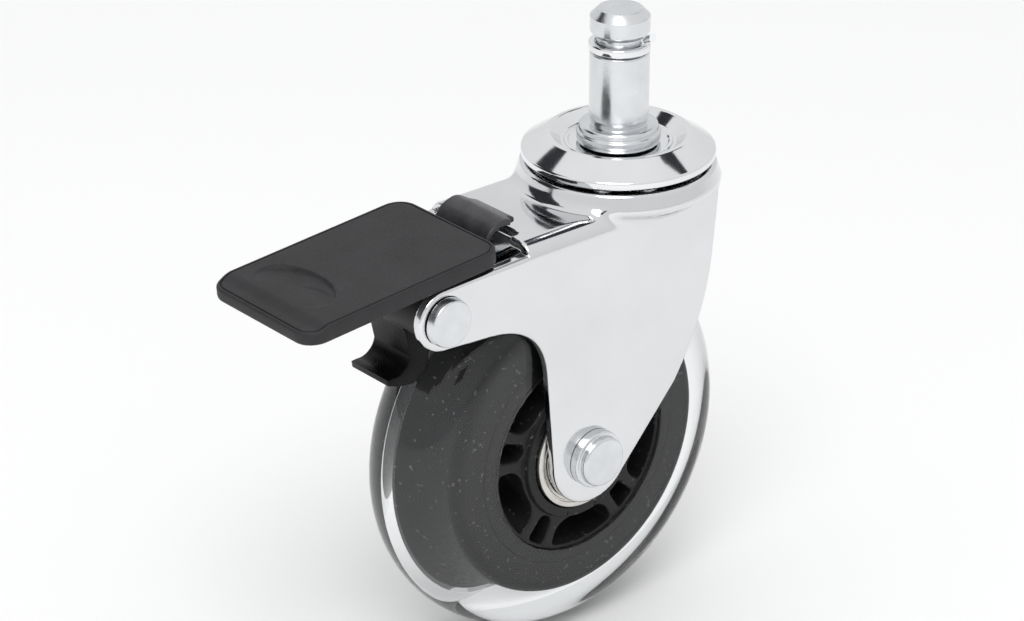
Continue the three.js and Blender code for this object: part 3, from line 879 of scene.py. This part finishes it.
def tread():
    """The clear tyre. It is cast on to the core, so its inside lies just under the rim's surface,
    but for one band round the crown that has come loose and stands clear of it."""
    crown_from = 28
    fullness = 0.92
    shoulder = WHEEL_HALF - 0.4
    bond = 0.05
    loose_from, loose_to, ramp = 3.5, 5.6, 0.2
    outside = []
    for t in np.linspace(-math.pi / 2, math.pi / 2, 49):
        swell = max(0, math.cos(t)) ** fullness
        outside.append((crown_from + (WHEEL_R - crown_from) * swell, WHEEL_HALF * math.sin(t)))
    inside = rim_section(bond)[::-1]
    crown = len(inside) // 2
    loose = [
        (CORE_RIM_R - bond, loose_to),
        (CORE_RIM_R + GAP, loose_to - ramp),
        (CORE_RIM_R + GAP, loose_from + ramp),
        (CORE_RIM_R - bond, loose_from),
    ]
    profile = [(TREAD_BORE_R, -shoulder), *outside, (TREAD_BORE_R, shoulder)]
    profile += inside[:crown] + loose + inside[crown:]
    piece = lathe("tread_cast", profile, about=AXLE, segments=256, sharp=50)
    fit(piece, "tread", "wheel", CLEAR)


def wheel_core():
    """The rim under the tyre, turned, and the web with its slots, in one black moulding."""
    lip_r = TREAD_BORE_R - 0.6
    ribbed = [
        (lip_r, -CORE_HALF + 1),
        (lip_r, -CORE_HALF),
        *rim_section(),
        (lip_r, CORE_HALF),
        (lip_r, CORE_HALF - 1),
    ]
    outer = lathe("wheel_core_rim", ribbed, about=AXLE, segments=256, sharp=30)
    fit(outer, "wheel_core", "wheel", CORE_BLACK)

    seat_r = BEARING["outer"] + GAP
    stop = BEARING_FACE - BEARING["width"] - GAP
    half_section = [
        (seat_r, -BARREL_HALF),
        (BARREL_R, -BARREL_HALF),
        (BARREL_R + GAP, -WEB_HALF),
        (TREAD_BORE_R, -WEB_HALF),
        (TREAD_BORE_R, WEB_HALF),
        (BARREL_R + GAP, WEB_HALF),
        (BARREL_R, BARREL_HALF),
        (seat_r, BARREL_HALF),
        (seat_r, stop),
        (seat_r - 1.6, stop),
        (seat_r - 1.6, -stop),
        (seat_r, -stop),
    ]
    pitch = 2 * math.pi / SLOT_PAIRS

    def slot(r, turn, half_angle, inner_round):
        side = r * (np.abs(turn) - math.radians(half_angle))
        return rounded_both(rounded_both(SLOT_INNER_R - r, side, inner_round), r - SLOT_OUTER_R, 0.8)

    def field(x, y, z):
        u, v = x - AXLE.x, z - AXLE.z
        r = np.hypot(u, v)
        turn = np.arctan2(v, u) - math.radians(SLOT_TURN)
        turn = np.abs((turn + pitch / 2) % pitch - pitch / 2)
        slots = np.minimum(slot(r, turn, 22.5, 3.4), slot(r, turn - pitch / 2, 6, 1.5))
        return without(polygon_field(r, y, half_section), slots, 0.5)

    half = Vector((TREAD_BORE_R, BARREL_HALF, TREAD_BORE_R))
    web = skin("wheel_core_web", field, AXLE - half, AXLE + half, 0.32)
    fit(web, "wheel_core", "wheel", CORE_BLACK)


def bearing(name, side):
    """A 608 bearing on one side of the wheel: both rings, two shields, the cage and its balls."""
    middle = side * BEARING_MIDDLE
    half = BEARING["width"] / 2
    outer, bore, pitch = BEARING["outer"], BEARING["bore"], BEARING["pitch"]
    race = BEARING["ball"] + GAP

    # Face of the outer ring: a flat, a groove and a bead where the shield is held.
    face = [
        (OUTER_LAND, -half + 0.5),
        (OUTER_LAND, -half + 0.12),
        (OUTER_LAND + 0.12, -half),
        (OUTER_LAND + 0.5, -half),
        (OUTER_LAND + 0.65, -half + 0.3),
        (OUTER_LAND + 0.85, -half + 0.3),
        (OUTER_LAND + 0.95, -half),
        (outer - 0.3, -half),
        (outer - 0.09, -half + 0.09),
        (outer, -half + 0.3),
    ]
    ring = [*face, *[(r, -h) for r, h in face[::-1]], *arc(pitch, 0, race, 46, -46, 14)]
    placed = [(r, middle + h) for r, h in ring]
    piece = lathe(f"{name}_outer_ring_ground", placed, about=AXLE, segments=160, sharp=25)
    fit(piece, f"{name}_outer_ring", "wheel", BEARING_STEEL)

    ring = [
        (bore, -half + 0.2),
        (bore + 0.2, -half),
        (INNER_LAND - 0.1, -half),
        (INNER_LAND, -half + 0.1),
        *arc(pitch, 0, race, 226, 134, 14),
        (INNER_LAND, half - 0.1),
        (INNER_LAND - 0.1, half),
        (bore + 0.2, half),
        (bore, half - 0.2),
    ]
    placed = [(r, middle + h) for r, h in ring]
    piece = lathe(f"{name}_inner_ring_ground", placed, about=AXLE, segments=96, sharp=25)
    fit(piece, f"{name}_inner_ring", "fork", BEARING_STEEL)

    for node in (f"{name}_outside_shield", f"{name}_inside_shield"):
        shield(node)
    ball_cage(name, middle)
    nodes = [f"{name}_ball_{k + 1}" for k in range(BEARING["balls"])]
    balls(ball_mesh(BEARING["ball"]), nodes, f"{name}_ball_set")


def shield(node):
    """Pressed washer with a rolled outer bead and a shallow ring in its face."""
    y = centre(node).y
    half = (high(node).y - low(node).y) / 2
    inner, outer = INNER_LAND + GAP, OUTER_LAND - GAP
    mid = (inner + outer) / 2
    ring = [
        (inner, -half),
        (mid - 0.45, -half),
        (mid - 0.2, -half + 0.18),
        (mid + 0.35, -half + 0.18),
        (mid + 0.6, -half),
        (outer - 0.1, -half),
        (outer, -half + 0.1),
        (outer, half - 0.1),
        (outer - 0.1, half),
        (mid + 0.6, half),
        (mid + 0.35, half - 0.1),
        (mid - 0.2, half - 0.1),
        (mid - 0.45, half),
        (inner, half),
    ]
    piece = lathe(node + "_pressed", [(r, y + h) for r, h in ring], about=AXLE, segments=96, sharp=25)
    fit(piece, node, "wheel", SHIELD_STEEL)


def ball_cage(name, middle):
    """The crown that spaces a bearing's balls: a band with a pocket for each of them."""
    pitch = BEARING["pitch"]
    node = f"{name}_ball_cage"
    back, front = high(node).y, low(node).y
    count = BEARING["balls"]

    def field(x, y, z):
        u, v = x - AXLE.x, z - AXLE.z
        band = box_field(np.hypot(u, v) - pitch, y - (back + front) / 2, 0.8, (back - front) / 2, 0.15)
        turn = np.arctan2(v, u)
        step = 2 * math.pi / count
        turn = (turn + step / 2) % step - step / 2
        r = np.hypot(u, v)
        gap = np.sqrt((r * np.cos(turn) - pitch) ** 2 + (r * np.sin(turn)) ** 2 + (y - middle) ** 2)
        return without(band, gap - BEARING["ball"] - GAP, 0.1)

    piece = skin(node + "_crown", field, low(node), high(node), 0.2)
    fit(piece, node, f"{name}_ball_set", CAGE_STEEL)


def bearing_spacer():
    """The tube that keeps the two inner rings apart."""
    end = BEARING_FACE - BEARING["width"] - GAP
    bore, wall = BEARING["bore"], 1.3
    corners = [(bore, -end), (bore + wall, -end), (bore + wall, end), (bore, end)]
    profile = rounded([(*corner, 0.2) for corner in corners])
    piece = lathe("bearing_spacer_turned", profile, about=AXLE, segments=96)
    fit(piece, "bearing_spacer", "fork", BEARING_STEEL)


# ---- Brake ----

def smooth(value, start, end):
    """0 before the start, 1 after the end and an even rise between them."""
    t = np.clip((value - start) / (end - start), 0, 1)
    return t * t * (3 - 2 * t)


def pedal_top(u, v):
    """How far the pedal's top lies below its highest face, at u back from the front and v across."""
    slope_end = 0.6 * smooth(-u, 38.4, 41.2)
    oval = np.hypot((u + 34.2) / 5.4, (v - 1.4) / 9.6)
    scoop = 0.6 * (1 - smooth(oval, 0.94, 1.0)) * smooth(u, -39, -30)
    inner = np.hypot((u + 34.6) / 3.6, (v + 3.4) / 5.0)
    crescent = 0.28 * (1 - smooth(inner, 0.85, 1.0)) * smooth(u - 0.3 * v, -34, -30.5)
    return slope_end + scoop + crescent


def pedal_plate():
    """The foot plate: rings of points going in from its edge, over the rim and the groove to the middle."""
    half, thick, corner = PEDAL["half"], PEDAL["thick"], 4
    length = PEDAL["front"] - PEDAL["tip"]
    under_round, lip_round, groove = 0.6, 0.5, 0.27
    edge = [
        (1.4, -thick),
        *arc(under_round, under_round - thick, under_round, 270, 180, 3),
        *arc(lip_round, -lip_round, lip_round, 180, 90, 4),
        (0.6, -0.02), (0.7, -groove), (0.88, -groove), (0.98, -0.03), (1.2, 0),
    ]
    inward = [(d, 0) for d in np.linspace(1.45, half, 57)]
    under = [(d, -thick) for d in np.linspace(half, 3, 8)]
    rings = []
    for inset, height in under + edge + inward:
        rings.append([(u, v, height) for u, v in inset_plan(length, half, corner, inset)])
    rings = np.array(rings)
    u, v, w = rings[..., 0], rings[..., 1], rings[..., 2]
    top = smooth(w, -1.2, -0.4)
    w -= top * pedal_top(u, v)
    slope = math.radians(PEDAL["slope"])
    x = PEDAL["front"] + u * math.cos(slope) - w * math.sin(slope)
    z = PEDAL["top"] + u * math.sin(slope) + w * math.cos(slope)
    placed = np.stack([x, v, z], -1)
    return loft("pedal_plate", placed.tolist(), caps=False)


def inset_plan(length, half, corner, inset):
    """Points of the plate's plan, moved in by an inset; every ring has the same number of points."""
    radius = max(corner - inset, 0)
    reach = min(inset, half)
    u0, u1, v1 = -length + reach + radius, -reach - radius, half - reach - radius
    points = []
    for cu, cv, start in ((u1, v1, 0), (u0, v1, 90), (u0, -v1, 180), (u1, -v1, 270)):
        points.extend(arc(cu, cv, radius, start, start + 90, 8))
    sides = []
    for k in range(4):
        a = np.array(points[9 * k + 8])
        b = np.array(points[(9 * k + 9) % 36])
        steps = 84 if k % 2 == 0 else 58
        sides.append([tuple(a + (b - a) * s / steps) for s in range(1, steps)])
    ring = []
    for k in range(4):
        ring.extend(points[9 * k : 9 * k + 9])
        ring.extend(sides[k])
    return ring


def brake_pedal():
    """Foot plate, block and hub in charcoal nylon; below the block the glossy hooked shoe, in a near-black
    copy of the nylon that paints the shade under the pedal.
    """
    seam_back = (-54.7, -23.35)
    block = stamped("pedal_block", [[
        (-45.6, -12),
        *arc(PIVOT.x, PIVOT.z, HUB_R, 5, -36, 14),
        seam_back,
        (-57, -12.5),
    ], arc(PIVOT.x, PIVOT.z, PIVOT_PIN_R + GAP, 0, 360, 32)[:-1]], 2 * (BLOCK_HALF - 0.6), 0.2)
    shoe = stamped("pedal_shoe", [[
        *arc(PIVOT.x, PIVOT.z, HUB_R, -36, -58, 8),
        *arc(-53, -30.7, 3.65, 8, -92, 20),
        *arc(PIVOT.x, PIVOT.z, LIP_R, -94, -113, 10),
        (-58.7, -32),
        *arc(-57, -28.3, 3.6, -97, -9, 20),
        seam_back,
    ]], 2 * BLOCK_HALF, 0.3)
    gusset = stamped("pedal_gusset", [[(-61.6, -12.6), (-56.8, -12.2), (-56.8, -18.4)]], 1.6, 0.15)
    stand_up(block)
    stand_up(shoe)
    stand_up(gusset, 3.4)
    side = FORK_HALF - SHEET - GAP
    bore = PIVOT_PIN_R + GAP
    bar = [(bore, -side), (HUB_BAR_R, -side, 0.4), (HUB_BAR_R, side, 0.4), (bore, side)]
    hub = lathe("pedal_hub", rounded(bar), about=PIVOT, segments=96)
    for piece in (pedal_plate(), block, gusset, hub):
        fit(piece, "brake_pedal", "brake_pedal", NYLON)
    # The shoe's near-black copy of the nylon paints the shade beneath the pedal.
    fit(shoe, "brake_pedal", "brake_pedal", GLOSS_NYLON_SHADED)


def brake_spring():
    """The leaf, along the smooth line through its bends; its front end is a narrower tab."""
    bends = [
        (-30, -9.3), (-31.8, -8.6), (-33.6, -8.3), (-36.1, -9.3), (-37.7, -11.6),
        (-39.4, -14.2), (-41.8, -16.4), (-43.7, -18.6), (-44.1, -21), (-43.2, -24),
    ]
    line = spline(bends, 8)

    def field(x, y, z):
        leaf = path_field(x, z, line) - SPRING_SHEET / 2
        half = TAB_HALF + (SPRING_HALF - TAB_HALF) * smooth(-x, -TAB_EDGE + 0.1, -TAB_EDGE + 1.1)
        return both(leaf, np.abs(y) - half, 0.35)

    piece = skin("brake_spring_bent", field, low("brake_spring"), high("brake_spring"), 0.26)
    fit(piece, "brake_spring", "fork", SPRING_BLACK)


# ---- The caster ----

stem()
grip_ring()
upper_race_cap()
lower_race()
swivel_race()
fork()
rivets()
tread()
wheel_core()
bearing("near", -1)
bearing("far", 1)
bearing_spacer()
brake_pedal()
brake_spring()


# ---- Camera, floor and light ----

def look():
    """The camera: angles in degrees, lens, sensor and distance in millimetres, shifts in picture widths."""
    azimuth, elevation, roll = math.radians(-40.836), math.radians(25.15), math.radians(0.261)
    distance = 669.026
    target = Vector((-20, 0, -24.634))
    back = Vector((
        math.sin(azimuth) * math.cos(elevation),
        -math.cos(azimuth) * math.cos(elevation),
        math.sin(elevation),
    ))
    right = Vector((math.cos(azimuth), math.sin(azimuth), 0))
    up = back.cross(right)
    right_rolled = right * math.cos(roll) + up * math.sin(roll)
    up_rolled = back.cross(right_rolled)
    data = bpy.data.cameras.new("camera")
    data.sensor_width = 36
    data.lens = 129.0457
    data.shift_x = -0.022608
    data.shift_y = -0.036539
    data.clip_start = 0.01
    camera = bpy.data.objects.new("camera", data)
    bpy.context.scene.collection.objects.link(camera)
    place = Matrix((right_rolled, up_rolled, back)).transposed().to_4x4()
    place.translation = (target + back * distance) * MM
    camera.matrix_world = place
    bpy.context.scene.camera = camera


def card(name, azimuths, elevations, radiance, distance=900):
    """A curved panel round the caster that only shows in reflections, between two azimuths and elevations."""
    rows, columns = 8, 16
    points = []
    for elevation in np.radians(np.linspace(*elevations, rows + 1)):
        for azimuth in np.radians(np.linspace(*azimuths, columns + 1)):
            flat, height = distance * math.cos(elevation), distance * math.sin(elevation)
            points.append((flat * math.cos(azimuth), flat * math.sin(azimuth), height))
    faces = []
    for i in range(rows):
        for j in range(columns):
            k = i * (columns + 1) + j
            faces.append((k, k + 1, k + columns + 2, k + columns + 1))
    panel = mesh_piece(name, points, faces)
    material = bpy.data.materials.new(name)
    material.use_nodes = True
    shader = material.node_tree.nodes["Principled BSDF"]
    shader.inputs["Base Color"].default_value = (0, 0, 0, 1)
    shader.inputs["Specular IOR Level"].default_value = 0
    shader.inputs["Emission Color"].default_value = (*radiance, 1)
    shader.inputs["Emission Strength"].default_value = 1
    panel.data.materials.append(material)
    panel.visible_camera = False
    panel.visible_diffuse = False
    panel.visible_transmission = False
    panel.visible_shadow = False


def floor():
    """A pale floor under the wheel."""
    half = 3000
    corners = [(-half, -half, FLOOR_Z), (half, -half, FLOOR_Z), (half, half, FLOOR_Z), (-half, half, FLOOR_Z)]
    ground = mesh_piece("floor", corners, [(0, 1, 2, 3)])
    ground.data.materials.append(surface("floor", (0.92, 0.92, 0.92), roughness=0.7))


def key_light():
    """A big soft panel above and to the left of the camera."""
    data = bpy.data.lights.new("key", "AREA")
    data.shape = "DISK"
    data.size = 0.7
    data.energy = 6
    lamp = bpy.data.objects.new("key", data)
    bpy.context.scene.collection.objects.link(lamp)
    lamp.location = (-0.55, -0.5, 1.0)
    lamp.rotation_euler = (Vector((-0.02, 0, -0.03)) - lamp.location).to_track_quat("-Z", "Y").to_euler()


def dome():
    """White studio all round, a little brighter overhead."""
    world = bpy.data.worlds.new("studio")
    world.use_nodes = True
    nodes, links = world.node_tree.nodes, world.node_tree.links
    place = nodes.new("ShaderNodeTexCoord")
    split = nodes.new("ShaderNodeSeparateXYZ")
    ramp = nodes.new("ShaderNodeValToRGB")
    ramp.color_ramp.elements[0].position = 0.0
    ramp.color_ramp.elements[0].color = (0.86, 0.87, 0.88, 1)
    ramp.color_ramp.elements[1].position = 1.0
    ramp.color_ramp.elements[1].color = (1, 1, 1, 1)
    links.new(place.outputs["Generated"], split.inputs["Vector"])
    links.new(split.outputs["Z"], ramp.inputs["Fac"])
    background = nodes["Background"]
    links.new(ramp.outputs["Color"], background.inputs["Color"])
    background.inputs["Strength"].default_value = 0.9
    bpy.context.scene.world = world


look()
floor()
key_light()
dome()
DARK = (0.03, 0.03, 0.035)
card("card_left", (91, 152), (36, 50), DARK)
card("card_left_low", (115, 152), (3, 36), DARK)
card("card_right", (-14, 12), (47, 59), DARK)
card("card_ahead", (12, 40), (36, 54), (0.03, 0.035, 0.06))
card("card_camera", (-137, -126), (24, 32), DARK)
bpy.context.scene.view_settings.view_transform = "Standard"
